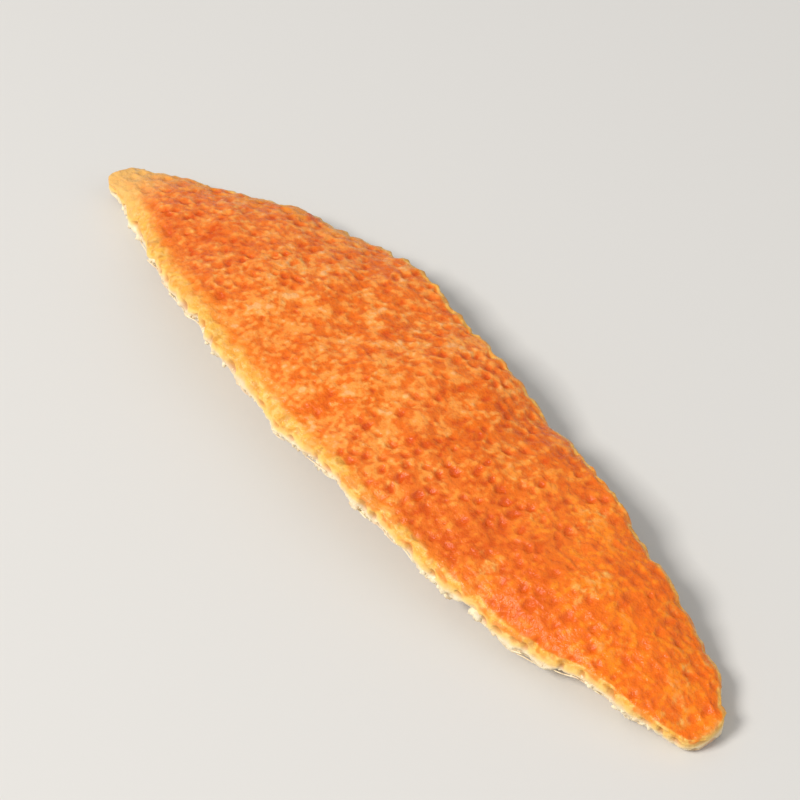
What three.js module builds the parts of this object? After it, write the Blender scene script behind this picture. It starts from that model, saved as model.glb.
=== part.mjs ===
import * as THREE from 'three';

// One strip of dried orange peel, lying on its white pith with the coloured rind up.
// It was cut as a slim lozenge and has dried stiff: the strip is arched along its length and crowned
// across it, its long edges flutter a little, and its cut sides bulge below the rim of the rind.
// Millimetres, +Z up. +X runs from the oblique cut end to the slim tip, and +Y to the side that has
// the shoulder. The origin is on the ground, under the middle of the strip.

// The outline seen from above. Each row is a place along the strip, then its two long edges there.
const OUTLINE = [
  [-21.4, -2.6, -0.3],
  [-19.4, -3.0, 1.45],
  [-16.8, -3.65, 2.75],
  [-13.6, -4.6, 4.4],
  [-10.0, -5.3, 5.7],
  [-6.4, -5.7, 6.3],
  [-1.5, -5.9, 5.6],
  [4.0, -5.8, 5.15],
  [9.0, -5.4, 4.65],
  [13.6, -4.45, 3.7],
  [17.6, -3.1, 2.9],
  [20.1, -2.25, 2.15],
  [21.4, -1.6, 1.15],
];
const NOSE_LENGTH = 0.8; // how far each rounded end reaches past its last outline row
const NOSE_SQUARENESS = 3; // the higher, the more upright the end's cut face stands

// A spur left by the knife on the near edge
const SPUR_AT = -15.0;
const SPUR_WIDTH = 0.7;
const SPUR_HEIGHT = 0.3;

// Thickness of the peel, rind and pith together
const THICKNESS_MIDDLE = 2.1;
const THICKNESS_EDGE = 1.25;
const THICKNESS_TIP = 1.05;
const TIP_TAPER = 5.0; // length over which the peel thins towards each end

// How the strip has bent in drying
const ARCH = 1.9; // rise of the middle above the two ends
const CROWN = 0.6; // rise of the middle above the two long edges, where the strip is widest
const TWIST = 0.005; // turn of the section about the length, per millimetre
const RIM_DROP = 0.08; // the rind rounds over at its rim
const RIM_SHARPNESS = 14;

// The cut sides bulge: the rim of the rind stands in from their widest line by the bevel, and their
// foot by the undercut.
const BEVEL_NEAR = 0.34;
const BEVEL_FAR = 0.3;
const UNDERCUT = 0.8;
const TIP_INSET = 0.3; // share of both that is left at the two ends

const EDGE_LAG = 4.0; // how far apart along the strip its two edges flutter alike
const RAGGED_STRETCH = -1.3; // the far edge's raggedness is the near one's, run backwards and closer
const TIP_LUMPS = 0.35; // share of the pith's lumps that is left at the two ends

// Slow waves, each with its height, its length along the strip, its slant across it and its phase
const RIND_WAVES = [
  [0.11, 13.0, 0.35, 0.4],
  [0.07, 7.3, -0.6, 2.1],
  [0.04, 4.1, 0.9, 4.4],
];
const EDGE_WAVES = [
  [0.22, 15.5, 1.1],
  [0.12, 8.2, 3.6],
];
const PITH_WAVES = [
  [0.13, 5.2, 0.8, 0.9],
  [0.10, 3.3, -1.3, 2.7],
  [0.07, 2.3, 1.9, 5.1],
];
const RAGGED_WAVES = [
  [0.06, 5.3, 0.3],
  [0.04, 2.9, 1.9],
  [0.03, 1.7, 4.0],
];

// The strip rests on its two ends, which touch at three spots. Each is a place along the strip and a
// share of the way across its underside.
const REST_SPOTS = [
  [-19.1, -0.25],
  [20.2, 0.65],
  [21.4, -1.0],
];
const REST_FLAT = 0.12; // how much of each spot is pressed flat

// Faces: stations along the strip, and steps round a section
const STATIONS = 92;
const NOSE_RINGS = 4;
const TOP_STEPS = 22;
const SIDE_STEPS = 4;
const UNDER_STEPS = 16;

const RIND_COLOUR = 0xe8742a;

// A smooth curve through one column of the outline: each stretch is a cubic whose slope at a row
// is that of the line between the rows on its two sides.
function outlineAt(column, x) {
  const last = OUTLINE.length - 1;
  const slope = (i) => {
    const a = OUTLINE[Math.max(i - 1, 0)];
    const b = OUTLINE[Math.min(i + 1, last)];
    return (b[column] - a[column]) / (b[0] - a[0]);
  };
  let i = 0;
  while (i < last - 1 && x > OUTLINE[i + 1][0]) i += 1;
  const [p, q] = [OUTLINE[i], OUTLINE[i + 1]];
  const span = q[0] - p[0];
  const t = THREE.MathUtils.clamp((x - p[0]) / span, 0, 1);
  const rise = t * t * (3 - 2 * t);
  return (
    p[column] * (1 - rise) +
    q[column] * rise +
    slope(i) * span * t * (1 - t) ** 2 -
    slope(i + 1) * span * t * t * (1 - t)
  );
}

// The sum of waves that run along the strip at a slant
function slantedWaves(waves, x, y) {
  return waves.reduce(
    (sum, [height, length, slant, phase]) =>
      sum + height * Math.sin((2 * Math.PI * (x + slant * y)) / length + phase),
    0,
  );
}

// The sum of waves that run along an edge
function edgeWaves(waves, x) {
  return waves.reduce(
    (sum, [height, length, phase]) => sum + height * Math.sin((2 * Math.PI * x) / length + phase),
    0,
  );
}

// The two long edges of the pith at x, with the knife's raggedness and its spur
function edgesAt(x) {
  const spur = SPUR_HEIGHT * Math.exp(-(((x - SPUR_AT) / SPUR_WIDTH) ** 2));
  return {
    near: outlineAt(1, x) - spur + edgeWaves(RAGGED_WAVES, x),
    far: outlineAt(2, x) + edgeWaves(RAGGED_WAVES, RAGGED_STRETCH * x),
  };
}

// A share from 0 at either end of the strip to 1 past the taper
function awayFromTips(x) {
  const first = OUTLINE[0][0];
  const last = OUTLINE[OUTLINE.length - 1][0];
  const gap = Math.min(x - first, last - x) / TIP_TAPER;
  const t = THREE.MathUtils.clamp(gap, 0, 1);
  return t * (2 - t);
}

// Height of the rind's surface before the strip is set down, where across runs from -1 at the near
// edge to 1 at the far one
function rindHeight(x, y, across) {
  const half = OUTLINE[OUTLINE.length - 1][0];
  const arch = ARCH * (1 - (x / half) ** 2);
  const tip = awayFromTips(x);
  const crown = CROWN * (1 - across * across) * tip;
  const flutter = edgeWaves(EDGE_WAVES, x + EDGE_LAG * Math.sign(across)) * across ** 4 * tip;
  const rim = RIM_DROP * Math.abs(across) ** RIM_SHARPNESS;
  return arch + crown + flutter + TWIST * x * y - rim + slantedWaves(RIND_WAVES, x, y);
}

// Thickness of the peel: full along the middle, thinner at the edges and the two ends
function thickness(x, y, across) {
  const tip = awayFromTips(x);
  const middle = THICKNESS_TIP + (THICKNESS_MIDDLE - THICKNESS_TIP) * tip;
  const edge = THICKNESS_TIP + (THICKNESS_EDGE - THICKNESS_TIP) * tip;
  const lumps = slantedWaves(PITH_WAVES, x, y) * (TIP_LUMPS + (1 - TIP_LUMPS) * tip);
  return edge + (middle - edge) * (1 - across ** 4) + lumps;
}

// Where a point of the strip lies across it: depth runs from 0 on the rind to 1 on the underside of
// the pith, and each depth of the cut side stands in from the edge by its own inset.
function placeAcross(x, across, depth) {
  const { near, far } = edgesAt(x);
  const bevel = across < 0 ? BEVEL_NEAR : BEVEL_FAR;
  const share = TIP_INSET + (1 - TIP_INSET) * awayFromTips(x);
  const inset = share * (bevel * (1 - depth) ** 2 + UNDERCUT * depth ** 3);
  return (near + far) / 2 + across * ((far - near) / 2 - inset);
}

// A point of the underside before the strip is set down
function undersidePoint(x, across) {
  const y = placeAcross(x, across, 1);
  return new THREE.Vector3(x, y, rindHeight(x, y, across) - thickness(x, y, across));
}

// The plane through the three spots of the underside that the strip rests on
const restPlane = new THREE.Plane().setFromCoplanarPoints(
  ...REST_SPOTS.map(([x, across]) => undersidePoint(x, across)),
);

// A point of the strip as it lies: heights are measured from the resting plane, into which the
// resting spots are pressed flat.
function pointAt(x, across, depth) {
  const y = placeAcross(x, across, depth);
  const { normal, constant } = restPlane;
  const ground = REST_FLAT - (normal.x * x + normal.y * y + constant) / normal.z;
  const rind = rindHeight(x, y, across) - ground;
  const underside = Math.max(rind - thickness(x, y, across), 0);
  return new THREE.Vector3(x, y, rind + (underside - rind) * depth);
}

// The (across, depth) pairs round one section: over the rind, down the far side, back along the
// underside and up the near side
function sectionSteps() {
  const steps = [];
  for (let i = 0; i < TOP_STEPS; i += 1) steps.push([-1 + (2 * i) / TOP_STEPS, 0]);
  for (let i = 0; i < SIDE_STEPS; i += 1) steps.push([1, i / SIDE_STEPS]);
  for (let i = 0; i < UNDER_STEPS; i += 1) steps.push([1 - (2 * i) / UNDER_STEPS, 1]);
  for (let i = 0; i < SIDE_STEPS; i += 1) steps.push([-1, 1 - i / SIDE_STEPS]);
  return steps;
}

// One section as a ring of points
function sectionRing(x, steps) {
  return steps.map(([across, depth]) => pointAt(x, across, depth));
}

// The rings of a rounded end: seen from above it is half an ellipse, and its cut face stands up
// nearly straight
function noseRings(ring, outwards) {
  const centre = ring.reduce((sum, p) => sum.add(p), new THREE.Vector3()).divideScalar(ring.length);
  const rings = [];
  for (let k = 1; k <= NOSE_RINGS; k += 1) {
    const turn = (Math.PI / 2) * (k / (NOSE_RINGS + 1));
    const reach = Math.sin(turn);
    const width = Math.cos(turn);
    const height = Math.sqrt(1 - reach ** (2 * NOSE_SQUARENESS));
    rings.push(
      ring.map(
        (p) =>
          new THREE.Vector3(
            p.x + outwards * NOSE_LENGTH * reach,
            centre.y + (p.y - centre.y) * width,
            centre.z + (p.z - centre.z) * height,
          ),
      ),
    );
  }
  const pole = centre.clone().add(new THREE.Vector3(outwards * NOSE_LENGTH, 0, 0));
  return { rings, pole };
}

// The closed skin of the strip: rings of points from one end to the other, joined by triangles
function peelGeometry() {
  const steps = sectionSteps();
  const first = OUTLINE[0][0];
  const last = OUTLINE[OUTLINE.length - 1][0];
  const body = [];
  for (let i = 0; i <= STATIONS; i += 1) {
    body.push(sectionRing(first + ((last - first) * i) / STATIONS, steps));
  }
  const start = noseRings(body[0], -1);
  const end = noseRings(body[STATIONS], 1);
  const rings = [...start.rings.reverse(), ...body, ...end.rings];
  const points = [...rings.flat(), start.pole, end.pole];

  const round = steps.length;
  const startPole = points.length - 2;
  const endPole = points.length - 1;
  const faces = [];
  for (let j = 0; j < round; j += 1) {
    const next = (j + 1) % round;
    faces.push(startPole, j, next);
    for (let i = 0; i < rings.length - 1; i += 1) {
      const a = i * round;
      const b = a + round;
      faces.push(a + j, b + j, a + next);
      faces.push(a + next, b + j, b + next);
    }
    const lastRing = (rings.length - 1) * round;
    faces.push(endPole, lastRing + next, lastRing + j);
  }

  const geometry = new THREE.BufferGeometry().setFromPoints(points);
  geometry.setIndex(faces);
  const box = new THREE.Box3().setFromPoints(points);
  const middle = box.getCenter(new THREE.Vector3());
  geometry.translate(-middle.x, -middle.y, 0);
  return geometry;
}

const group = new THREE.Group();
group.name = 'dried_orange_peel';

const peel = new THREE.Mesh(
  peelGeometry(),
  new THREE.MeshStandardMaterial({ color: RIND_COLOUR, roughness: 0.6, metalness: 0 }),
);
peel.name = 'peel_strip';
group.add(peel);

export default group;
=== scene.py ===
import itertools
import math

import bpy
import numpy as np
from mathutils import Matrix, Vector


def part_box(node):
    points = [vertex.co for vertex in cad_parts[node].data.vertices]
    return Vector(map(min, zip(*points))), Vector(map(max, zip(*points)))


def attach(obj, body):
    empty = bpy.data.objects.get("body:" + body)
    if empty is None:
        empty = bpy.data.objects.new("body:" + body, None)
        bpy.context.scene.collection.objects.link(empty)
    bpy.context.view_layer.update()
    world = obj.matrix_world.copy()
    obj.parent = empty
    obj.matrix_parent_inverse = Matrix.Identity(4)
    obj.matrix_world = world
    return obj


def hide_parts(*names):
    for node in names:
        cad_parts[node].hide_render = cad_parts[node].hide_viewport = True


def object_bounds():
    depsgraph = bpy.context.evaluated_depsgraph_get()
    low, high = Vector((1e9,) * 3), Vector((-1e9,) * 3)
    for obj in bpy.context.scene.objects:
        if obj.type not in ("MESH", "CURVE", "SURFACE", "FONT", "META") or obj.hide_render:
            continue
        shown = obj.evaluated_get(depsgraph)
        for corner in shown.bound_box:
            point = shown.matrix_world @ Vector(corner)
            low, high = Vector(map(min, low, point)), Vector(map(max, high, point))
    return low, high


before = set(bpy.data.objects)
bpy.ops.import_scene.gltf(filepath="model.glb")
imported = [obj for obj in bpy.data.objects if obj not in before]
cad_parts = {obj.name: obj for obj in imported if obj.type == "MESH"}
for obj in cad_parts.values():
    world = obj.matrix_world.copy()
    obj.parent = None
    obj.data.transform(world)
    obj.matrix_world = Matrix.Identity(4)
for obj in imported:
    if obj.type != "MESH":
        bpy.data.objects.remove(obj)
cad_low, cad_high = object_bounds()

# Camera. The picture looks down on the strip at 48 degrees, with the strip lying from the upper left
# to the lower right. A long lens close to the middle of the strip keeps its outline true.
LENS_MM = 100.0
SENSOR_MM = 36.0
LOOK_AZIMUTH = math.radians(53.1)
LOOK_ELEVATION = math.radians(47.9)
LOOK_DISTANCE = 0.104
NEAREST_SEEN = 0.01
FARTHEST_SEEN = 10

middle = (cad_low + cad_high) / 2
to_right = Vector((math.cos(LOOK_AZIMUTH), math.sin(LOOK_AZIMUTH), 0))
to_back = Vector((-math.sin(LOOK_AZIMUTH), math.cos(LOOK_AZIMUTH), 0))
upwards = Vector((0, 0, 1))
to_camera = upwards * math.sin(LOOK_ELEVATION) - to_back * math.cos(LOOK_ELEVATION)

lens = bpy.data.cameras.new("camera")
lens.lens = LENS_MM
lens.sensor_width = SENSOR_MM
lens.clip_start = NEAREST_SEEN
lens.clip_end = FARTHEST_SEEN
camera = bpy.data.objects.new("camera", lens)
camera.location = middle + to_camera * LOOK_DISTANCE
camera.rotation_euler = (-to_camera).to_track_quat("-Z", "Y").to_euler()
bpy.context.scene.collection.objects.link(camera)
bpy.context.scene.camera = camera
bpy.context.scene.view_settings.view_transform = "Standard"

# Studio. A pale plain table, a broad soft lamp at the upper left that lights the cut side facing the
# picture, a weaker lamp at the right, and an even pale sky.


def paint(red, green, blue):
    """A screen colour of 0 to 255 as the linear colour of a shader: each share c of 255 becomes
    ((c + 0.055) / 1.055) to the power 2.4."""
    return tuple(((c / 255 + 0.055) / 1.055) ** 2.4 for c in (red, green, blue)) + (1.0,)


class Wire:
    """What one output socket of a material carries. Arithmetic on a wire adds Math nodes."""

    def __init__(self, finish, socket):
        self.finish = finish
        self.socket = socket

    def math(self, operation, *values):
        """The result of one Math node on these numbers and wires"""
        sockets = dict(enumerate(values))
        return self.finish.node("ShaderNodeMath", {"operation": operation}, sockets)

    def __add__(self, other):
        return self.math("ADD", self, other)

    def __radd__(self, other):
        return self.math("ADD", other, self)

    def __sub__(self, other):
        return self.math("SUBTRACT", self, other)

    def __rsub__(self, other):
        return self.math("SUBTRACT", other, self)

    def __mul__(self, other):
        return self.math("MULTIPLY", self, other)

    def __rmul__(self, other):
        return self.math("MULTIPLY", other, self)


class Finish:
    """A material, built up node by node."""

    def __init__(self, name):
        self.material = bpy.data.materials.new(name)
        self.material.use_nodes = True
        self.tree = self.material.node_tree
        self.tree.nodes.clear()

    def node(self, kind, settings, sockets, out=0):
        """Adds a node of a kind, sets its settings, gives its sockets their values or wires, and
        returns the wire of one output, where it has any."""
        made = self.tree.nodes.new(kind)
        for name, value in settings.items():
            setattr(made, name, value)
        for key, value in sockets.items():
            if isinstance(value, Wire):
                self.tree.links.new(value.socket, made.inputs[key])
            else:
                made.inputs[key].default_value = value
        return Wire(self, made.outputs[out]) if made.outputs else None

    def place(self):
        """Object coordinates in millimetres"""
        metres = self.node("ShaderNodeTexCoord", {}, {}, "Object")
        return self.node("ShaderNodeVectorMath", {"operation": "SCALE"}, {0: metres, "Scale": 1000.0})

    def attribute(self, name):
        """A number that the mesh carries at its points"""
        return self.node("ShaderNodeAttribute", {"attribute_name": name}, {}, "Fac")

    def noise(self, place, size, detail=2.0, roughness=0.5):
        """Cloudy noise from 0 to 1 whose lumps are about size millimetres across"""
        sockets = {"Vector": place, "Scale": 1 / size, "Detail": detail, "Roughness": roughness}
        return self.node("ShaderNodeTexNoise", {}, sockets)

    def cells(self, place, size):
        """Distance to the nearest of scattered spots size millimetres apart, where 1 is that size"""
        return self.node("ShaderNodeTexVoronoi", {}, {"Vector": place, "Scale": 1 / size}, "Distance")

    def step(self, value, low, high):
        """A smooth step from 0 at low to 1 at high"""
        settings = {"interpolation_type": "SMOOTHSTEP"}
        return self.node("ShaderNodeMapRange", settings, {0: value, 1: low, 2: high, 3: 0.0, 4: 1.0})

    def mix(self, share, first, second):
        """The first colour where share is 0, the second where it is 1"""
        return self.node("ShaderNodeMix", {"data_type": "RGBA"}, {0: share, 6: first, 7: second}, 2)

    def bump(self, height, reach, strength):
        """Normals of a surface raised by up to reach metres"""
        sockets = {"Strength": strength, "Distance": reach, "Height": height}
        return self.node("ShaderNodeBump", {}, sockets)

    def surface(self, sockets):
        """The surface shader with these sockets, as the material's output"""
        shader = self.node("ShaderNodeBsdfPrincipled", {}, sockets)
        self.node("ShaderNodeOutputMaterial", {}, {"Surface": shader})


TABLE_SIDE = 1.6
TABLE_COLOUR = paint(220, 217, 212)
KEY_WATTS = 1.02
KEY_SIDE = 0.12
KEY_DISTANCE = 0.36
KEY_COLOUR = (1.0, 0.98, 0.95)
FILL_WATTS = 0.20
FILL_SIDE = 0.30
FILL_DISTANCE = 0.42
FILL_COLOUR = (0.96, 0.98, 1.0)
SKY_COLOUR = (0.95, 0.97, 1.0, 1.0)
SKY_STRENGTH = 0.47


def add_lamp(name, direction, distance, side, watts, colour):
    """A square area lamp that faces the strip from a direction"""
    lamp = bpy.data.lights.new(name, "AREA")
    lamp.size = side
    lamp.energy = watts
    lamp.color = colour
    holder = bpy.data.objects.new(name, lamp)
    towards = direction.normalized()
    holder.location = middle + towards * distance
    holder.rotation_euler = (-towards).to_track_quat("-Z", "Y").to_euler()
    bpy.context.scene.collection.objects.link(holder)


key_direction = to_right * -0.60 + to_back * -0.30 + upwards * 0.75
fill_direction = to_right * 0.9 + to_back * -0.4 + upwards * 0.8
add_lamp("key_lamp", key_direction, KEY_DISTANCE, KEY_SIDE, KEY_WATTS, KEY_COLOUR)
add_lamp("fill_lamp", fill_direction, FILL_DISTANCE, FILL_SIDE, FILL_WATTS, FILL_COLOUR)

sky = bpy.data.worlds.new("pale_sky")
sky.use_nodes = True
sky.node_tree.nodes["Background"].inputs["Color"].default_value = SKY_COLOUR
sky.node_tree.nodes["Background"].inputs["Strength"].default_value = SKY_STRENGTH
bpy.context.scene.world = sky

half_table = TABLE_SIDE / 2
corners = [(-half_table, -half_table, 0), (half_table, -half_table, 0)]
corners += [(half_table, half_table, 0), (-half_table, half_table, 0)]
table_mesh = bpy.data.meshes.new("table_top")
table_mesh.from_pydata(corners, [], [(0, 1, 2, 3)])
table_top = bpy.data.objects.new("table_top", table_mesh)
bpy.context.scene.collection.objects.link(table_top)
table_finish = Finish("pale_table")
table_finish.surface({"Base Color": TABLE_COLOUR, "Roughness": 0.7, "Specular IOR Level": 0.3})
table_mesh.materials.append(table_finish.material)

# The strip: one slim lozenge of dried orange peel, cut with a knife. Orange rind with open oil pits
# lies over cream pith, and both show on the cut sides. Its form is that of the solid, in millimetres:
# arched along its length, crowned across it, resting on its two ends.
OUTLINE = np.array([  # place along the strip, near edge, far edge
    [-21.4, -2.6, -0.3],
    [-19.4, -3.0, 1.45],
    [-16.8, -3.65, 2.75],
    [-13.6, -4.6, 4.4],
    [-10.0, -5.3, 5.7],
    [-6.4, -5.7, 6.3],
    [-1.5, -5.9, 5.6],
    [4.0, -5.8, 5.15],
    [9.0, -5.4, 4.65],
    [13.6, -4.45, 3.7],
    [17.6, -3.1, 2.9],
    [20.1, -2.25, 2.15],
    [21.4, -1.6, 1.15],
])
FIRST = OUTLINE[0, 0]
LAST = OUTLINE[-1, 0]
NOSE_LENGTH = 0.8
NOSE_SQUARENESS = 3
SPUR_AT = -15.0
SPUR_WIDTH = 0.7
SPUR_HEIGHT = 0.3
THICKNESS_MIDDLE = 2.1
THICKNESS_EDGE = 1.25
THICKNESS_TIP = 1.05
THINNING_POWER = 4
TIP_TAPER = 5.0
ARCH = 1.9
CROWN = 0.6
FLUTTER_POWER = 4
TWIST = 0.005
RIM_DROP = 0.08
RIM_SHARPNESS = 14
BEVEL_NEAR = 0.34
BEVEL_FAR = 0.3
UNDERCUT = 0.8
TIP_INSET = 0.3
EDGE_LAG = 4.0
RAGGED_STRETCH = -1.3
TIP_LUMPS = 0.35
# Waves of the rind and of the pith: height, length, slant and phase
RIND_WAVES = [(0.11, 13.0, 0.35, 0.4), (0.07, 7.3, -0.6, 2.1), (0.04, 4.1, 0.9, 4.4)]
PITH_WAVES = [(0.13, 5.2, 0.8, 0.9), (0.10, 3.3, -1.3, 2.7), (0.07, 2.3, 1.9, 5.1)]
# Waves of the two edges, up and down and then in and out: height, length and phase
EDGE_WAVES = [(0.22, 15.5, 1.1), (0.12, 8.2, 3.6)]
RAGGED_WAVES = [(0.06, 5.3, 0.3), (0.04, 2.9, 1.9), (0.03, 1.7, 4.0)]
# Where the underside rests, along the strip and across it from -1 to 1, and what is pressed flat
REST_SPOTS = np.array([[-19.1, -0.25], [20.2, 0.65], [21.4, -1.0]])
REST_FLAT = 0.12

# Counts of the mesh: stretches along the strip, rings of each nose, steps round a section
STATIONS = 428
NOSE_RINGS = 8
TOP_STEPS = 124
SIDE_STEPS = 23
UNDER_STEPS = 52

# Random tables: how many values each has along a side, after which it repeats
GRAIN_TABLE = 32
SPOT_TABLE = 64
ROW_TABLE = 256
# The largest move of a spot in steps of its lattice, and a distance beyond all spots near a point
SPOT_SHIFT = 0.36
FAR_AWAY = 9.0

MILLIMETRE = 0.001


def outline_at(column, x):
    """A smooth curve through one column of the outline: each stretch is a cubic whose slope at a row
    is that of the line between the rows on its two sides."""
    rows, values = OUTLINE[:, 0], OUTLINE[:, column]
    before = np.maximum(np.arange(len(rows)) - 1, 0)
    after = np.minimum(np.arange(len(rows)) + 1, len(rows) - 1)
    slope = (values[after] - values[before]) / (rows[after] - rows[before])
    i = np.clip(np.searchsorted(rows, x) - 1, 0, len(rows) - 2)
    span = rows[i + 1] - rows[i]
    t = np.clip((x - rows[i]) / span, 0, 1)
    rise = t * t * (3 - 2 * t)
    line = values[i] * (1 - rise) + values[i + 1] * rise
    return line + slope[i] * span * t * (1 - t) ** 2 - slope[i + 1] * span * t * t * (1 - t)


def wave(height, length, phase, x):
    """A sine wave of one height and length, moved by its phase"""
    return height * np.sin(2 * np.pi * x / length + phase)


def edge_waves(waves, x):
    """The sum of waves that run along an edge"""
    return sum(wave(height, length, phase, x) for height, length, phase in waves)


def slanted_waves(waves, x, y):
    """The sum of waves that run along the strip at a slant, which is how far each moves on for one
    millimetre across"""
    return sum(wave(height, length, phase, x + slant * y) for height, length, slant, phase in waves)


def edges_at(x):
    """The near and the far edge of the pith: the outline with the raggedness of the knife, and on the
    near edge a spur in the shape of a bell curve"""
    spur = SPUR_HEIGHT * np.exp(-(((x - SPUR_AT) / SPUR_WIDTH) ** 2))
    near = outline_at(1, x) - spur + edge_waves(RAGGED_WAVES, x)
    return near, outline_at(2, x) + edge_waves(RAGGED_WAVES, RAGGED_STRETCH * x)


def away_from_tips(x):
    """2t - t^2, where t runs from 0 at the nearer end of the strip to 1 past its taper"""
    t = np.clip(np.minimum(x - FIRST, LAST - x) / TIP_TAPER, 0, 1)
    return t * (2 - t)


def rind_height(x, y, across):
    """Height of the rind: an arch that falls with the square of the way along, a crown that falls
    with the square of the way across, edges that flutter by a high power of it, a twist that grows
    with both, a rim rounded by a higher power still, and slow waves"""
    tip = away_from_tips(x)
    arch = ARCH * (1 - (x / LAST) ** 2)
    crown = CROWN * (1 - across**2) * tip
    flutter = edge_waves(EDGE_WAVES, x + EDGE_LAG * np.sign(across)) * across**FLUTTER_POWER * tip
    rim = RIM_DROP * np.abs(across) ** RIM_SHARPNESS
    return arch + crown + flutter + TWIST * x * y - rim + slanted_waves(RIND_WAVES, x, y)


def thickness(x, y, across):
    """Thickness of the peel: it thins from the middle to the edges by a high power of the way across,
    and to one value at the two ends, with the lumps of the pith"""
    tip = away_from_tips(x)
    thick = THICKNESS_TIP + (THICKNESS_MIDDLE - THICKNESS_TIP) * tip
    thin = THICKNESS_TIP + (THICKNESS_EDGE - THICKNESS_TIP) * tip
    lumps = slanted_waves(PITH_WAVES, x, y) * (TIP_LUMPS + (1 - TIP_LUMPS) * tip)
    return thin + (thick - thin) * (1 - across**THINNING_POWER) + lumps


def place_across(x, across, depth):
    """Where a point lies across the strip: its share of the half width, less the inset of the cut
    side at its depth, which is the bevel at the rind, nothing where it bulges most, and the
    undercut at its foot"""
    near, far = edges_at(x)
    bevel = np.where(across < 0, BEVEL_NEAR, BEVEL_FAR)
    share = TIP_INSET + (1 - TIP_INSET) * away_from_tips(x)
    inset = share * (bevel * (1 - depth) ** 2 + UNDERCUT * depth**3)
    return (near + far) / 2 + across * ((far - near) / 2 - inset)


def ground_height(x, y):
    """Height of the table before the strip is set down: the plane through the three resting spots of
    the underside, raised by what is pressed flat there"""
    spot_x, spot_across = REST_SPOTS.T
    spot_y = place_across(spot_x, spot_across, 1.0)
    spot_z = rind_height(spot_x, spot_y, spot_across) - thickness(spot_x, spot_y, spot_across)
    tilt = np.linalg.solve(np.stack([spot_x, spot_y, np.ones(3)], 1), spot_z)
    return tilt[0] * x + tilt[1] * y + tilt[2] + REST_FLAT


def strip_points(x, across, depth):
    """The strip's skin from three parameters: x along it, across from -1 at the near edge to 1 at the
    far one, and depth from 0 on the rind to 1 on the underside. The last axis holds x, y, z and how
    far below the rind the point lies."""
    y = place_across(x, across, depth)
    rind = rind_height(x, y, across) - ground_height(x, y)
    underside = np.maximum(rind - thickness(x, y, across), 0)
    below = (rind - underside) * depth
    return np.stack([x + 0 * y, y, rind - below, below], -1)


def section_steps():
    """The across and depth values round one section: over the rind, down the far side, back along
    the underside and up the near side"""
    top = np.arange(TOP_STEPS) / TOP_STEPS
    side = np.arange(SIDE_STEPS) / SIDE_STEPS
    under = np.arange(UNDER_STEPS) / UNDER_STEPS
    across = np.concatenate([2 * top - 1, 1 + 0 * side, 1 - 2 * under, -1 + 0 * side])
    depth = np.concatenate([0 * top, side, 1 + 0 * under, 1 - side])
    return across, depth


def with_noses(rings):
    """The rings with a rounded nose at each end. Along a quarter turn the end ring moves outwards by
    the sine, narrows by the cosine, and sinks late to its centre, where it has no size."""
    turn = (np.pi / 2) * np.arange(1, NOSE_RINGS + 2)[:, None] / (NOSE_RINGS + 1)
    reach = np.sin(turn)
    width = np.cos(turn)
    height = np.sqrt(np.maximum(1 - reach ** (2 * NOSE_SQUARENESS), 0))
    width[-1] = 0
    noses = []
    for ring, outwards in ((rings[0], -1), (rings[-1], 1)):
        x, y, z, below = np.moveaxis(ring, -1, 0)
        noses.append(np.stack([
            x + outwards * NOSE_LENGTH * reach,
            y.mean() + (y - y.mean()) * width,
            z.mean() + (z - z.mean()) * height,
            below.mean() + (below - below.mean()) * height,
        ], -1))
    return np.concatenate([noses[0][::-1], rings, noses[1]])


def grain(points, size, seed):
    """Smooth random heights from -1 to 1: random values at the corners of cubes of one size, of
    which a point takes the eight round it, weighted by 3t^2 - 2t^3 of its place between them"""
    table = np.random.default_rng(seed).uniform(-1, 1, (GRAIN_TABLE,) * 3)
    at = points / size
    cell = np.floor(at).astype(int)
    t = at - cell
    t = t * t * (3 - 2 * t)
    height = 0
    for corner in itertools.product((0, 1), repeat=3):
        weight = np.prod(np.where(corner, t, 1 - t), -1)
        i, j, k = np.moveaxis((cell + corner) % GRAIN_TABLE, -1, 0)
        height = height + weight * table[i, j, k]
    return height


def scattered(along, over, spacing, seed):
    """Distances to the nearest and the next nearest of scattered spots, and a random number from -1
    to 1 for the nearest: the spots of a triangular lattice, each moved by up to SPOT_SHIFT of a step
    along and over"""
    table = np.random.default_rng(seed).uniform(-1, 1, (SPOT_TABLE, SPOT_TABLE, 3))
    row_step = spacing * math.sqrt(3) / 2
    nearest = np.full(along.shape, FAR_AWAY)
    second = np.full(along.shape, FAR_AWAY)
    number = np.zeros(along.shape)
    for i, j in itertools.product((-2, -1, 0, 1, 2), repeat=2):
        row = np.round(over / row_step) + i
        odd = (row % 2) / 2
        column = np.round(along / spacing - odd) + j
        moved = table[(row % SPOT_TABLE).astype(int), (column % SPOT_TABLE).astype(int)]
        spot_along = (column + odd + SPOT_SHIFT * moved[..., 0]) * spacing
        spot_over = (row + SPOT_SHIFT * moved[..., 1]) * row_step
        distance = np.hypot(along - spot_along, over - spot_over)
        closer = distance < nearest
        second = np.where(closer, nearest, np.minimum(second, distance))
        number = np.where(closer, moved[..., 2], number)
        nearest = np.minimum(nearest, distance)
    return nearest, second, number


def row_spots(at, across, spacing, shift, table, far_start):
    """The three spots nearest to each point in the row of spots along its edge, each moved at random
    by up to a share of a step. Gives how far past a spot the point is, and the spot's row of the
    table. The far edge starts further down the table."""
    start = np.where(across < 0, 0, far_start)
    for offset in (-1, 0, 1):
        column = np.round(at / spacing) + offset
        moved = table[((column + start) % ROW_TABLE).astype(int)]
        yield at - (column + shift * moved[..., 0]) * spacing, moved


def smooth_step(value, low, high):
    """3t^2 - 2t^3, where t runs from 0 at low to 1 at high"""
    t = np.clip((value - low) / (high - low), 0, 1)
    return t * t * (3 - 2 * t)


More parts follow.
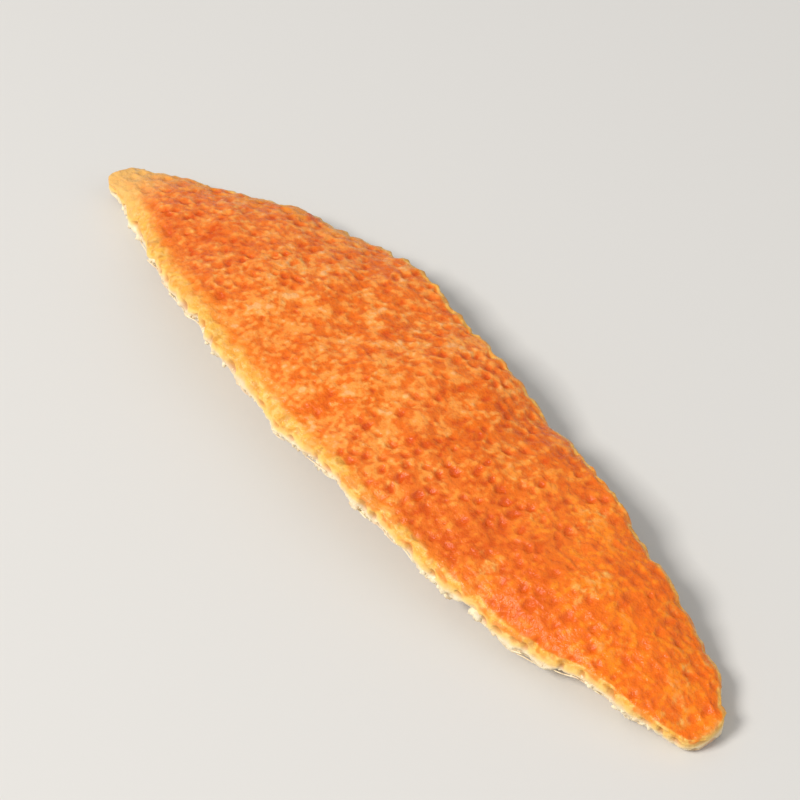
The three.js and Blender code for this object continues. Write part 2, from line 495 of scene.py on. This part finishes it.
def outward_normals(rings):
    """Unit normals of a skin of rings, from the cross product of its slopes along and round it"""
    along = np.gradient(rings, axis=0)
    around = np.roll(rings, -1, 1) - np.roll(rings, 1, 1)
    normal = np.cross(along, around)
    return normal / (np.linalg.norm(normal, axis=-1, keepdims=True) + 1e-12)


# How far below the rind its relief ends, and how squarely that of the underside ends at the edges
RIND_SKIN = 0.06
UNDER_SQUARENESS = 6
# Relief of the rind: oil pits with ridges between them, pebbles and wrinkles, on a warped lattice
PIT_SPACING = 0.80
PIT_RADIUS = 0.26
PIT_SPREAD = 0.35
PIT_FLOOR = 0.15
PIT_DEPTH = 0.14
RIDGE_WIDTH = 0.15
RIDGE_HEIGHT = 0.030
PEBBLE_SPACING = 0.40
PEBBLE_RADIUS = 0.19
PEBBLE_HEIGHT = 0.030
WRINKLE_HEIGHT = 0.045
WRINKLE_STRETCH = (0.45, 1.2, 1.0)
FINE_WRINKLE_STRETCH = (1.0, 0.8, 1.0)
WARP = 0.22
WARP_SIZE = 1.1
# Relief of the cut sides: a row of oil glands under the rind, and crumbling pith with pores
GLAND_SPACING = 0.86
GLAND_SHIFT = 0.34
GLAND_DEPTH = 0.18
GLAND_BELOW = 0.34
GLAND_BELOW_SPREAD = 0.10
GLAND_WIDTH = 0.31
GLAND_WIDTH_SPREAD = 0.40
GLAND_TALLNESS = 0.25
GLAND_TALLNESS_SPREAD = 0.35
FAR_GLANDS = 97
PITH_FROM = (0.45, 0.75)
PORE_SPACING = 0.34
PORE_SQUASH = 1.2
PORE_RADIUS = 0.14
PORE_SPREAD = 0.06
PORE_DEPTH = 0.10
CRUMBLE = 0.10
# Relief of the underside: low lumps, slanting veins and torn patches
UNDER_CRUMBLE = 0.05
VEIN_SPACING = 1.9
VEIN_SLANT = 0.45
VEIN_WIDTH = 0.16
VEIN_HEIGHT = 0.07
TORN_DEPTH = 0.12
# The yellow fringe of the rind: how far it reaches in from each edge and end, and where along the
# near edge it narrows and runs out
FRINGE_NEAR = 0.80
FRINGE_FAR = 0.24
FRINGE_BLUNT_END = 1.7
FRINGE_SLIM_END = 0.30
FRINGE_NARROWS = (-7, 2)
FRINGE_RUNS_OUT = (7, 16)
# How far beyond the point of a nose the way in from the rim starts, and the largest number for it
RIM_START = 0.05
RIM_MOST = 4
# Nicks of the knife in both edges
NICK_SPACING = 0.95
NICK_WIDTH = 0.30
NICK_SPREAD = 0.35
NICK_DEPTH = 0.19
NICK_REACH = 0.5
FAR_NICKS = 131

across, depth = section_steps()
stations = np.linspace(FIRST, LAST, STATIONS + 1)[:, None]
skin = with_noses(strip_points(stations, across, depth))
body = skin[..., :3]
below = skin[..., 3]
x, y = body[..., 0], body[..., 1]
normal = outward_normals(body)

on_top = 1 - smooth_step(below, 0.0, RIND_SKIN)
under_share = np.where(depth == 1, 1 - np.abs(across) ** UNDER_SQUARENESS, 0)
on_underside = np.broadcast_to(under_share, below.shape)
on_cut = (1 - on_top) * (1 - on_underside)

# In each call of grain and scattered, the last two numbers are a size in millimetres and the seed
warp_x = x + WARP * grain(body, WARP_SIZE, 1)
warp_y = y + WARP * grain(body, WARP_SIZE, 2)
pit_distance, pit_next, pit_number = scattered(warp_x, warp_y, PIT_SPACING, 3)
pit_radius = PIT_RADIUS * (1 + PIT_SPREAD * pit_number)
pit = 1 - smooth_step(pit_distance, PIT_FLOOR * pit_radius, pit_radius)
pit = pit * (0.62 + 0.38 * pit_number) * (0.75 + 0.4 * grain(body, 3.4, 4))
ridge = np.exp(-(((pit_next - pit_distance) / RIDGE_WIDTH) ** 2))
pebble_distance, _, pebble_number = scattered(warp_x, warp_y, PEBBLE_SPACING, 5)
pebble = np.clip(1 - (pebble_distance / PEBBLE_RADIUS) ** 2, 0, 1) * (0.6 + 0.4 * pebble_number)
pebble = pebble * (1 - pit)
wrinkle = grain(body * WRINKLE_STRETCH, 1.0, 6) + 0.6 * grain(body * FINE_WRINKLE_STRETCH, 0.45, 7)
raised = RIDGE_HEIGHT * ridge + PEBBLE_HEIGHT * pebble + WRINKLE_HEIGHT * wrinkle
top_relief = raised - PIT_DEPTH * pit

# x + y also changes along the cut faces of the two ends, where x alone stands still
round_edge = x + y + 0.2 * grain(body, 0.9, 18)
gland_drop = below + 0.10 * grain(body, 0.5, 19)
gland_table = np.random.default_rng(8).uniform(-1, 1, (ROW_TABLE, 5))
gland = np.zeros(below.shape)
for past, moved in row_spots(round_edge, across, GLAND_SPACING, GLAND_SHIFT, gland_table, FAR_GLANDS):
    gland_below = GLAND_BELOW + GLAND_BELOW_SPREAD * moved[..., 1]
    wide = GLAND_WIDTH * (1 + GLAND_WIDTH_SPREAD * moved[..., 2])
    tall = GLAND_TALLNESS * (1 + GLAND_TALLNESS_SPREAD * moved[..., 4])
    reach = np.hypot(past / wide, (gland_drop - gland_below) / tall)
    hollow = (1 - smooth_step(reach, 0.35, 1.0)) * (0.25 + 0.75 * (moved[..., 3] > -0.3))
    gland = np.maximum(gland, hollow)
gland = gland * on_cut

in_pith = smooth_step(below, *PITH_FROM)
pore_distance, _, pore_number = scattered(round_edge, gland_drop * PORE_SQUASH, PORE_SPACING, 9)
pore_radius = PORE_RADIUS + PORE_SPREAD * pore_number
pore = np.clip(1 - (pore_distance / pore_radius) ** 2, 0, 1) * (pore_number > -0.25)
pore = pore * in_pith * on_cut
lumps = grain(body, 0.95, 10) + 0.8 * grain(body, 0.42, 11) + 0.5 * grain(body, 0.2, 12)
cut_relief = CRUMBLE * lumps * (0.25 + 0.75 * in_pith) - GLAND_DEPTH * gland - PORE_DEPTH * pore

bent = y + VEIN_SLANT * x + 1.6 * grain(body, 4.5, 13) + 0.35 * grain(body, 1.3, 14)
vein = np.exp(-((np.sin(np.pi * bent / VEIN_SPACING) / VEIN_WIDTH) ** 2))
vein = vein * smooth_step(grain(body, 3.1, 15), -0.3, 0.4)
torn = smooth_step(grain(body, 2.6, 16) + 0.35 * grain(body, 0.8, 17), 0.22, 0.40)
under_lumps = UNDER_CRUMBLE * lumps * (0.4 + 1.3 * torn)
under_relief = under_lumps + VEIN_HEIGHT * vein * (1 - torn) - TORN_DEPTH * torn

half_width = (outline_at(2, x) - outline_at(1, x)) / 2
edge_gap = (1 - np.abs(across)) * half_width
nick_table = np.random.default_rng(20).uniform(-1, 1, (ROW_TABLE, 3))
nick = np.zeros(below.shape)
for past, moved in row_spots(x, across, NICK_SPACING, SPOT_SHIFT, nick_table, FAR_NICKS):
    away = past / (NICK_WIDTH * (1 + NICK_SPREAD * moved[..., 1]))
    nick = np.maximum(nick, np.exp(-(away**2)) * (0.6 + 0.4 * moved[..., 2]))
bite = NICK_DEPTH * nick * (1 - smooth_step(edge_gap, 0, NICK_REACH)) * (1 - 0.6 * depth)

relief = on_top * top_relief + on_cut * cut_relief + on_underside * under_relief
shaped = body + normal * relief[..., None]
shaped[..., 1] -= np.sign(across) * bite * away_from_tips(x)
shaped[..., 2] = np.maximum(shaped[..., 2], 0)

# Numbers for the colours: how far in from the rim, in widths of the fringe, and from the far edge
fringe_near = FRINGE_NEAR * (1 - 0.40 * smooth_step(x, *FRINGE_NARROWS))
fringe_near = fringe_near * (1 - 0.75 * smooth_step(x, *FRINGE_RUNS_OUT))
fringe_width = np.where(across < 0, fringe_near, FRINGE_FAR)
blunt_rim = (x - FIRST + NOSE_LENGTH + RIM_START) / FRINGE_BLUNT_END
slim_rim = (LAST + NOSE_LENGTH + RIM_START - x) / FRINGE_SLIM_END
rim = np.clip(np.minimum(edge_gap / fringe_width, np.minimum(blunt_rim, slim_rim)), 0, RIM_MOST)
far_gap = (1 - across) * half_width

# The move that puts the middle of the strip over that of the solid
plain_low = body.reshape(-1, 3).min(0)
plain_high = body.reshape(-1, 3).max(0)
strip_low, strip_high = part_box("peel_strip")
shift = np.array((strip_low + strip_high) / 2) - (plain_low + plain_high) / 2 * MILLIMETRE
shift[2] = 0


def tube_faces(rings, steps):
    """Faces of a closed tube: quads between its rings of corners, and a fan of triangles at each end
    to a pole. The two poles are numbered after the rings."""
    here = np.arange(steps)
    after = (here + 1) % steps
    first = (np.arange(rings - 1) * steps)[:, None]
    quads = np.stack([first + here, first + steps + here, first + steps + after, first + after], -1)
    last = (rings - 1) * steps
    start_fan = np.stack([np.full(steps, rings * steps), here, after], -1)
    end_fan = np.stack([np.full(steps, rings * steps + 1), last + after, last + here], -1)
    return quads.reshape(-1, 4), np.concatenate([start_fan, end_fan])


def add_tubes(name, points, numbers, finish):
    """An object of closed tubes of one make, with a number at each corner for each name. The axes
    of points are the tube, its ring, the step round it, and x, y, z in millimetres; the first and
    the last ring of each have no size. It rides on the part and has its peel material."""
    tubes, rings, steps = points.shape[:3]
    quads, fans = tube_faces(rings - 2, steps)
    size = (rings - 2) * steps + 2
    start = (np.arange(tubes) * size)[:, None, None]
    quads = (quads + start).reshape(-1, 4)
    fans = (fans + start).reshape(-1, 3)
    loops = np.concatenate([quads.ravel(), fans.ravel()])
    counts = np.concatenate([np.full(len(quads), 4), np.full(len(fans), 3)])

    def per_corner(values):
        inner = values[:, 1:-1].reshape(tubes, (rings - 2) * steps, -1)
        return np.concatenate([inner, values[:, :1, 0], values[:, -1:, 0]], 1)

    mesh = bpy.data.meshes.new(name)
    mesh.vertices.add(tubes * size)
    placed = per_corner(points) * MILLIMETRE + shift
    mesh.vertices.foreach_set("co", placed.astype(np.float32).ravel())
    mesh.loops.add(len(loops))
    mesh.loops.foreach_set("vertex_index", loops.astype(np.int32))
    mesh.polygons.add(len(counts))
    mesh.polygons.foreach_set("loop_start", (np.cumsum(counts) - counts).astype(np.int32))
    mesh.update(calc_edges=True)
    mesh.shade_smooth()
    for label, values in numbers.items():
        layer = mesh.attributes.new(label, "FLOAT", "POINT")
        layer.data.foreach_set("value", per_corner(values[..., None]).astype(np.float32).ravel())
    mesh.materials.append(finish.material)
    piece = bpy.data.objects.new(name, mesh)
    bpy.context.scene.collection.objects.link(piece)
    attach(piece, "root")
    return piece


# Colours of the rind, of its fringe and flesh, of the pith and of the spots
RIND_ORANGE = paint(240, 112, 12)
RIND_DEEP = paint(219, 84, 6)
RIND_LIGHT = paint(255, 155, 62)
# Painted glints: a pinkish white for the highest tones of the rind
PAINTED_GLINT = paint(255, 192, 130)
# A pink that is partly a random tint of the rind and partly a painted sheen over its blunt half
RIND_PINK_AND_SHEEN = paint(240, 121, 40)
RIND_LIGHT_SLIM = paint(255, 138, 20)
RIND_SLIM_END = paint(249, 114, 3)
TIP_CREAM = paint(246, 188, 106)
RIM_GOLD = paint(247, 146, 36)
FRINGE_YELLOW = paint(249, 184, 76)
FLESH_YELLOW = paint(252, 206, 122)
PITH_CREAM = paint(250, 234, 198)
PITH_TAN = paint(226, 190, 146)
UNDER_CREAM = paint(240, 212, 178)
UNDER_TAN = paint(216, 172, 130)
GLAND_BROWN = paint(190, 112, 38)
SPECK_BROWN = paint(160, 112, 66)
OCHRE = paint(244, 152, 42)
# Sizes of the colour clouds, the spots and the fine bumps, in millimetres
BROAD_SIZE = 6.5
PATCH_SIZE = 1.7
STAIN_SIZE = 1.5
MOTTLE_SIZE = 0.75
BROWN_SPOT_SIZE = 0.55
PEBBLE_BUMP_SIZE = 0.36
SPECK_SIZE = 0.30
DUST_SIZE = 0.09
# Where a colour comes or goes along the strip, in millimetres from its middle
# Where the painted pink sheen over the blunt half of the rind goes
PINK_SHEEN_GOES = (-16.0, 2.0)
SLIM_END_COMES = (7.0, 19.0)
BLUNT_SHADE_GOES = (-16.0, -9.0)
SLIM_SHADE_COMES = (4.0, 7.0)
SLIM_SHADE_GOES = (11.0, 18.0)
# Where the painted pool of light over the middle left of the rind comes and goes
PAINTED_LIGHT_COMES = (-14.0, -9.0)
PAINTED_LIGHT_GOES = (1.0, 6.0)
SLIM_LIGHT_COMES = (3.0, 14.0)
DEEP_WANES = (4.0, 16.0)
# Where the painted glints thin out toward the slim end
PAINTED_GLINT_WANES = (0.0, 11.0)
STAIN_GOES = (-12.0, -7.0)
ORANGE_COMES = (-3.0, 7.0)
TIP_GOES = (-21.9, -18.7)
# Where a colour comes or goes across the strip, in millimetres from the far edge
SHADE_COMES = (4.0, 7.0)
STAIN_ENDS = (0.5, 1.9)
# Where a colour goes on the way in from the rim, in widths of the fringe
GOLD_GOES = (0.70, 1.90)
FRINGE_GOES = (0.50, 1.15)
# Where each layer comes below the rind, in millimetres
CUT_COMES = (0.02, 0.14)
ROUGH_COMES = (0.02, 0.2)
FLESH_COMES = (0.05, 0.30)
PITH_COMES = (0.28, 0.62)
# How rough the layers are, and how high in metres the fine bumps stand
RIND_ROUGHNESS = 0.29
CUT_ROUGHER_BY = 0.56
PEEL_BUMP = 0.00010

peel_finish = Finish("dried_orange_peel")
place = peel_finish.place()
along = peel_finish.node("ShaderNodeSeparateXYZ", {}, {0: place}, 0)
broad = peel_finish.noise(place, BROAD_SIZE, 2.0)
patches = peel_finish.noise(place, PATCH_SIZE, 3.0, 0.6)
mottle = peel_finish.noise(place, MOTTLE_SIZE, 2.0, 0.5)
specks = peel_finish.noise(place, SPECK_SIZE, 2.0, 0.6)
dust = peel_finish.noise(place, DUST_SIZE, 2.0, 0.6)
pebbles = 1 - peel_finish.cells(place, PEBBLE_BUMP_SIZE)
step = peel_finish.step
mix = peel_finish.mix

# The rind. In each mix a step says where the second colour lies, and the last factor how strongly
rind = mix(step(broad, 0.38, 0.62) * 0.5, RIND_ORANGE, RIND_PINK_AND_SHEEN)
# Painted sheen: the blunt half of the rind is tinted pink by its place along the strip, as a glancing
# highlight would tint it
rind = mix((1 - step(along, *PINK_SHEEN_GOES)) * 0.45, rind, RIND_PINK_AND_SHEEN)
rind = mix(step(along, *SLIM_END_COMES) * 0.75, rind, RIND_SLIM_END)
clouds = (patches - 0.5) * 1.1 + (mottle - 0.5) * 1.2 + (specks - 0.5) * 0.7
far_gap_wire = peel_finish.attribute("far_gap")
# Painted shade away from the far edge at the blunt end and over the slim middle, and a painted pool
# of light that raises the tone over the middle left
slim_shade = step(along, *SLIM_SHADE_COMES) * (1 - step(along, *SLIM_SHADE_GOES))
dark_zone = (1 - step(along, *BLUNT_SHADE_GOES)) + slim_shade
painted_light_zone = step(along, *PAINTED_LIGHT_COMES) * (1 - step(along, *PAINTED_LIGHT_GOES))
clouds = clouds - dark_zone * step(far_gap_wire, *SHADE_COMES) * 0.18 + painted_light_zone * 0.10
tone = 0.46 + clouds + peel_finish.attribute("pebble") * 0.42 - peel_finish.attribute("pit") * 0.56
light = mix(step(along, *SLIM_LIGHT_COMES), RIND_LIGHT, RIND_LIGHT_SLIM)
deep_zone = 0.95 - step(along, *DEEP_WANES) * 0.35
rind = mix((1 - step(tone, 0.08, 0.48)) * deep_zone, rind, RIND_DEEP)
rind = mix(step(tone, 0.48, 0.80) * 0.95, rind, light)
# Painted glints: the palest tones of the rind turn pinkish white, most over the blunt half
painted_glint_zone = 1 - step(along, *PAINTED_GLINT_WANES) * 0.75
rind = mix(step(tone, 0.82, 1.06) * painted_glint_zone * 0.60, rind, PAINTED_GLINT)
stain = step(peel_finish.noise(place, STAIN_SIZE, 2.0), 0.36, 0.52)
stain_gap = far_gap_wire + (patches - 0.5) * 2.0
stain_zone = (1 - step(along, *STAIN_GOES)) * (1 - step(stain_gap, *STAIN_ENDS))
rind = mix(stain * stain_zone * 0.85, rind, OCHRE)

# Its yellow fringe with a gold band inside it, and the cream of the blunt tip
fringe = mix(step(specks, 0.44, 0.62) * 0.6, FRINGE_YELLOW, FLESH_YELLOW)
orange_share = 0.25 + step(along, *ORANGE_COMES) * 0.40
fringe = mix(step(mottle, 0.47, 0.60) * orange_share, fringe, RIND_ORANGE)
fringe = mix((1 - step(mottle, 0.34, 0.44)) * 0.45, fringe, GLAND_BROWN)
rim_wire = peel_finish.attribute("rim") + (patches - 0.5) * 0.8
rim_wire = rim_wire + (mottle - 0.5) * 1.1 + (specks - 0.5) * 0.5
rind = mix((1 - step(rim_wire, *GOLD_GOES)) * 0.45, rind, RIM_GOLD)
rind = mix((1 - step(rim_wire, *FRINGE_GOES)) * 0.92, rind, fringe)
tip_wire = along + (mottle - 0.5) * 3.0 - far_gap_wire * 0.30
rind = mix((1 - step(tip_wire, *TIP_GOES)) * 0.85, rind, TIP_CREAM)

# The pith of the cut sides, and that of the underside with its veins and torn patches
below_wire = peel_finish.attribute("below") + (patches - 0.5) * 0.30 + (specks - 0.5) * 0.20
pith = mix(step(patches, 0.40, 0.70) * 0.50, PITH_CREAM, PITH_TAN)
pith = mix(step(specks, 0.60, 0.78) * 0.45, pith, PITH_TAN)
pith = mix(peel_finish.attribute("pore") * 0.7, pith, PITH_TAN)
brown_spots = step(peel_finish.noise(place, BROWN_SPOT_SIZE, 3.0, 0.6), 0.64, 0.74)
pith = mix(brown_spots * 0.55, pith, SPECK_BROWN)
under_tone = mix(step(broad + (patches - 0.5) * 0.6, 0.36, 0.66), UNDER_CREAM, UNDER_TAN)
under_tone = mix(peel_finish.attribute("vein") * 0.6, under_tone, PITH_CREAM)
under_tone = mix(peel_finish.attribute("torn") * 0.7, under_tone, PITH_CREAM)
under_tone = mix(brown_spots * 0.35, under_tone, SPECK_BROWN)
pith = mix(peel_finish.attribute("under"), pith, under_tone)

# The layers of a cut side, from the rind down: yellow flesh with brown glands, then pith
flesh = mix(step(below_wire, *FLESH_COMES), fringe, FLESH_YELLOW)
flesh = mix(step(below_wire, *PITH_COMES), flesh, pith)
flesh = mix(peel_finish.attribute("gland") * 0.70, flesh, GLAND_BROWN)
colour = mix(step(below_wire, *CUT_COMES), rind, flesh)

roughness = RIND_ROUGHNESS + step(below_wire, *ROUGH_COMES) * CUT_ROUGHER_BY + (specks - 0.5) * 0.30
height = pebbles * 0.5 + specks * 0.9 + dust * 0.4
peel_finish.surface({
    "Base Color": colour,
    "Roughness": roughness,
    "Normal": peel_finish.bump(height, PEEL_BUMP, 0.75),
    "Specular IOR Level": 0.32,
    "Subsurface Weight": 0.03,
    "Subsurface Radius": (1.0, 0.45, 0.2),
    "Subsurface Scale": 0.0004,
})
strip_numbers = {
    "below": below,
    "pit": pit * on_top,
    "pebble": pebble * on_top,
    "rim": rim,
    "far_gap": far_gap,
    "gland": gland,
    "pore": pore,
    "under": on_underside,
    "torn": torn * on_underside,
    "vein": vein * on_underside,
}
strip_numbers = {label: values[None] for label, values in strip_numbers.items()}
strip = add_tubes("dried_peel", shaped[None], strip_numbers, peel_finish)
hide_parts("peel_strip")

# Pith crumbs: dry pith breaks up under the knife, and hundreds of its grains still cling to the cut
# sides, their foot and the underside. Each grain is a small lumpy ball, more than half sunk in pith.
CRUMBS_ON_SIDES = 520
CRUMBS_UNDER = 160
CRUMB_SIZE = 0.085
CRUMB_SPREAD = 0.45
CRUMB_SINK = 0.35
CRUMB_STRETCH = (1.25, 1.0, 0.8)
CRUMB_LUMPS = 0.40
CRUMB_LUMP_SIZE = 0.08
CRUMB_DEPTH = 0.40
CRUMB_RINGS = 9
CRUMB_STEPS = 10
END_RINGS = NOSE_RINGS + 4
CLEAR_SHARE = 0.68  # of the strip's length, between its two resting ends
CRUMB_TONE_SIZE = 0.5
CRUMB_BUMP_SIZE = 0.06
CRUMB_BUMP = 0.00004

pick = np.random.default_rng(21)
side_steps = np.flatnonzero((np.abs(across) == 1) & (depth > CRUMB_DEPTH))
under_steps = np.flatnonzero(depth == 1)
side_picks = pick.choice(side_steps, CRUMBS_ON_SIDES)
under_picks = pick.choice(under_steps, CRUMBS_UNDER)
crumb_step = np.concatenate([side_picks, under_picks])
crumb_ring = pick.integers(END_RINGS, len(shaped) - END_RINGS, len(crumb_step))
middle_ring = len(shaped) // 2
under_ring = crumb_ring[CRUMBS_ON_SIDES:]
crumb_ring[CRUMBS_ON_SIDES:] = middle_ring + (under_ring - middle_ring) * CLEAR_SHARE
crumb_size = CRUMB_SIZE * np.exp(CRUMB_SPREAD * pick.normal(size=len(crumb_step)))
sunk = normal[crumb_ring, crumb_step] * (CRUMB_SINK * crumb_size)[:, None]
crumb_at = shaped[crumb_ring, crumb_step] - sunk

# A ball along one axis by the cosine, round it by the sine, stretched, turned at random and lumpy
turn = np.pi * np.linspace(0, 1, CRUMB_RINGS)[:, None]
swing = 2 * np.pi * np.arange(CRUMB_STEPS) / CRUMB_STEPS
ball = [-np.cos(turn) + 0 * swing, -np.sin(turn) * np.cos(swing), np.sin(turn) * np.sin(swing)]
ball = np.stack(ball, -1) * CRUMB_STRETCH
ball[0] = ball[0, 0]
ball[-1] = ball[-1, 0]
first_axis = pick.normal(size=(len(crumb_step), 3))
third_axis = np.cross(first_axis, pick.normal(size=(len(crumb_step), 3)))
first_axis /= np.linalg.norm(first_axis, axis=1, keepdims=True)
third_axis /= np.linalg.norm(third_axis, axis=1, keepdims=True)
turned = np.stack([first_axis, np.cross(third_axis, first_axis), third_axis], 1)
crumbs = np.einsum("rsa,cab->crsb", ball, turned) * crumb_size[:, None, None, None]
apart = crumb_at[:, None, None] * 5  # brings each crumb to another part of the grain
lumpy = 1 + CRUMB_LUMPS * grain(crumbs + apart, CRUMB_LUMP_SIZE, 22)
crumbs = crumb_at[:, None, None] + crumbs * lumpy[..., None]
crumbs[..., 2] = np.maximum(crumbs[..., 2], 0)

crumb_finish = Finish("dry_pith_crumb")
crumb_place = crumb_finish.place()
crumb_tone = crumb_finish.step(crumb_finish.noise(crumb_place, CRUMB_TONE_SIZE, 2.0), 0.40, 0.66)
crumb_colour = crumb_finish.mix(crumb_tone * 0.6, PITH_CREAM, PITH_TAN)
crumb_grain = crumb_finish.noise(crumb_place, CRUMB_BUMP_SIZE, 2.0)
crumb_finish.surface({
    "Base Color": crumb_colour,
    "Roughness": 0.85,
    "Normal": crumb_finish.bump(crumb_grain, CRUMB_BUMP, 0.6),
    "Specular IOR Level": 0.25,
})
add_tubes("pith_crumbs", crumbs, {}, crumb_finish)

# Pith fibres: the fruit's fine veins run through the pith, and their dry ends lie on the cut sides
# and the underside as short pale threads. Each is a tapered tube that follows the surface.
FIBRES_ON_SIDES = 90
FIBRES_UNDER = 90
FIBRE_RINGS = 16
FIBRE_STEPS = 6
FIBRE_RADIUS = 0.030
FIBRE_GIRTHS = (0.7, 1.3)
FIBRE_LENGTHS = (0.5, 1.7)
FIBRE_STARTS = (FIRST + 1, LAST - 3)
FIBRE_WANDER = (0.10, 0.12, 0.10)
FIBRE_ACROSS = (-0.85, 0.85)
FIBRE_DEPTHS = (0.50, 0.92)
FIBRE_LEAST_DEPTH = 0.42
FIBRE_LIFT = 0.02
FIBRE_LIFT_SPREAD = 0.05
FIBRE_LIFT_SIZE = 0.9
FIBRE_TONE_SIZE = 1.2

# Each line runs along the skin of the strip and sways over it by a slant, a bow and a wave
fibre_turn = np.linspace(0, 1, FIBRE_RINGS)
fibre_count = FIBRES_ON_SIDES + FIBRES_UNDER
fibre_length = pick.uniform(*FIBRE_LENGTHS, fibre_count)[:, None]
fibre_start = pick.uniform(*FIBRE_STARTS, fibre_count)[:, None]
wander = pick.normal(size=(fibre_count, 3)) * FIBRE_WANDER
bend = np.stack([fibre_turn - 0.5, (fibre_turn - 0.5) ** 2 * 2, np.sin(2 * np.pi * fibre_turn) * 0.5])
sway = wander @ bend
under_row = np.arange(fibre_count) >= FIBRES_ON_SIDES
fibre_start[under_row] *= CLEAR_SHARE
fibre_x = fibre_start + fibre_length * fibre_turn
side_of = np.where(np.arange(fibre_count) % 2 == 0, -1.0, 1.0)
fibre_across = np.where(under_row, pick.uniform(*FIBRE_ACROSS, fibre_count), side_of)[:, None]
fibre_across = np.where(under_row[:, None], fibre_across + sway, fibre_across)
fibre_depth = np.where(under_row, 1.0, pick.uniform(*FIBRE_DEPTHS, fibre_count))[:, None]
side_depth = np.clip(fibre_depth + sway, FIBRE_LEAST_DEPTH, 1.0)
fibre_depth = np.where(under_row[:, None], 1.0, side_depth)
fibre_line = strip_points(fibre_x, fibre_across, fibre_depth)[..., :3]

downwards = np.array([0, 0, -1.0])
outwards = np.array([0, 1.0, 0]) * side_of[:, None, None]
lifted = np.where(under_row[:, None, None], downwards, outwards)
lift = FIBRE_LIFT + FIBRE_LIFT_SPREAD * grain(fibre_line, FIBRE_LIFT_SIZE, 23)
fibre_line = fibre_line + lifted * lift[..., None]
# Round each line a tube, whose radius follows the fourth root of 1 - (2t - 1)^2 from end to end
ahead = np.gradient(fibre_line, axis=1)
ahead /= np.linalg.norm(ahead, axis=-1, keepdims=True)
sideways = np.cross(lifted + 0 * ahead, ahead)
sideways /= np.linalg.norm(sideways, axis=-1, keepdims=True)
upright = np.cross(ahead, sideways)
fibre_swing = 2 * np.pi * np.arange(FIBRE_STEPS) / FIBRE_STEPS
thinning = FIBRE_RADIUS * np.sqrt(1 - (2 * fibre_turn - 1) ** 2) ** 0.5
thinning = thinning * pick.uniform(*FIBRE_GIRTHS, fibre_count)[:, None]
spokes = np.sin(fibre_swing)[:, None] * upright[:, :, None]
spokes = spokes - np.cos(fibre_swing)[:, None] * sideways[:, :, None]
fibres = fibre_line[:, :, None] + spokes * thinning[:, :, None, None]
fibres[..., 2] = np.maximum(fibres[..., 2], 0)

fibre_finish = Finish("dry_pith_fibre")
fibre_tone = fibre_finish.noise(fibre_finish.place(), FIBRE_TONE_SIZE, 2.0)
fibre_colour = fibre_finish.mix(fibre_finish.step(fibre_tone, 0.4, 0.6), PITH_CREAM, UNDER_CREAM)
fibre_finish.surface({"Base Color": fibre_colour, "Roughness": 0.8, "Specular IOR Level": 0.25})
add_tubes("pith_fibres", fibres, {}, fibre_finish)
